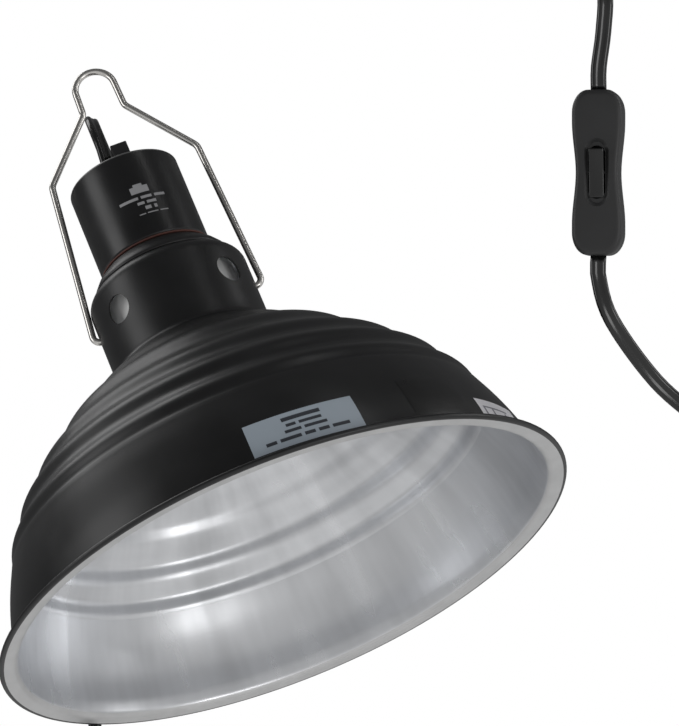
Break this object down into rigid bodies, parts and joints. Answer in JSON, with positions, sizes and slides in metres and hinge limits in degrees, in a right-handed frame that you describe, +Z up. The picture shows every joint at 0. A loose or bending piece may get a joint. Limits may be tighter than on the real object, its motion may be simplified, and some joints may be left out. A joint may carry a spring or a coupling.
{
  "type": "heat lamp fixture",
  "caption": "Hanging dome heat lamp: rippled spun reflector, screw-shell socket in a vented neck, wire bail that swings on the neck, flat cord with rocker switch and two-blade plug.",
  "frame": {"origin": "the hang point: underside of the wire at the top of the bail's loop, where a hook carries the lamp", "axes": "+Z up along the lamp's axis, away from the rim; +X along the bail's pivot axis, towards the switch; -Y to the front"},
  "size_m": [0.3355, 0.3057, 0.4358],
  "materials": {
    "black_paint": "satin black paint outside; the reflector is bare spun aluminium inside",
    "bare_aluminium": "bright spun, fine circular brush lines",
    "stainless": "polished drawn wire",
    "porcelain": "glazed porcelain",
    "brass": "plain",
    "steel": "zinc plated",
    "red_fibre": "fibre washer",
    "black_plastic": "moulded, semi-gloss",
    "switch_plastic": "moulded, matt",
    "cord_vinyl": "flat twin cord, glossy vinyl",
    "lead_insulation": "heat-proof sleeving",
    "label_pale": null,
    "label_black": null
  },
  "bodies": {
    "bail": {"bail_wire": "stainless"},
    "lamp": {"bracket_screw_left": "steel", "bracket_screw_right": "steel", "centre_contact": "brass", "clamp_screw": "steel", "coil_tie": "black_plastic", "contact_bar": "brass", "cord_clamp_base": "black_plastic", "cord_clamp_block": "black_plastic", "cord_coil": "cord_vinyl", "cord_coil_to_plug": "cord_vinyl", "cord_lamp_to_switch": "cord_vinyl", "cord_switch_to_coil": "cord_vinyl", "housing_gasket": "red_fibre", "lead_left": "lead_insulation", "lead_right": "lead_insulation", "neck_collar": "black_paint", "plug_blade_live": "brass", "plug_blade_neutral": "brass", "plug_body": "black_plastic", "porcelain_socket": "porcelain", "reflector_shell": "black_paint", "rocker_pin": "steel", "screw_shell": "brass", "socket_bracket": "steel", "socket_housing": "black_paint", "switch_back_shell": "switch_plastic", "switch_front_shell": "switch_plastic", "switch_screw_in": "steel", "switch_screw_out": "steel", "switch_terminal_in": "brass", "switch_terminal_out": "brass", "terminal_screw_left": "steel", "terminal_screw_right": "brass"},
    "rocker": {"rocker": "black_plastic"}
  },
  "joints": [
    {"name": "bail_swing", "type": "hinge", "parent": "bail", "child": "lamp", "pos_m": [-0.004, 0, -0.127], "axis": [1, 0, 0], "range_deg": [-70, 0]},
    {"name": "rocker_tip", "type": "hinge", "parent": "lamp", "child": "rocker", "pos_m": [0.15978, -0.13364, -0.19631], "axis": [0.891, -0.134, -0.4337], "range_deg": [-16, 0]}
  ]
}
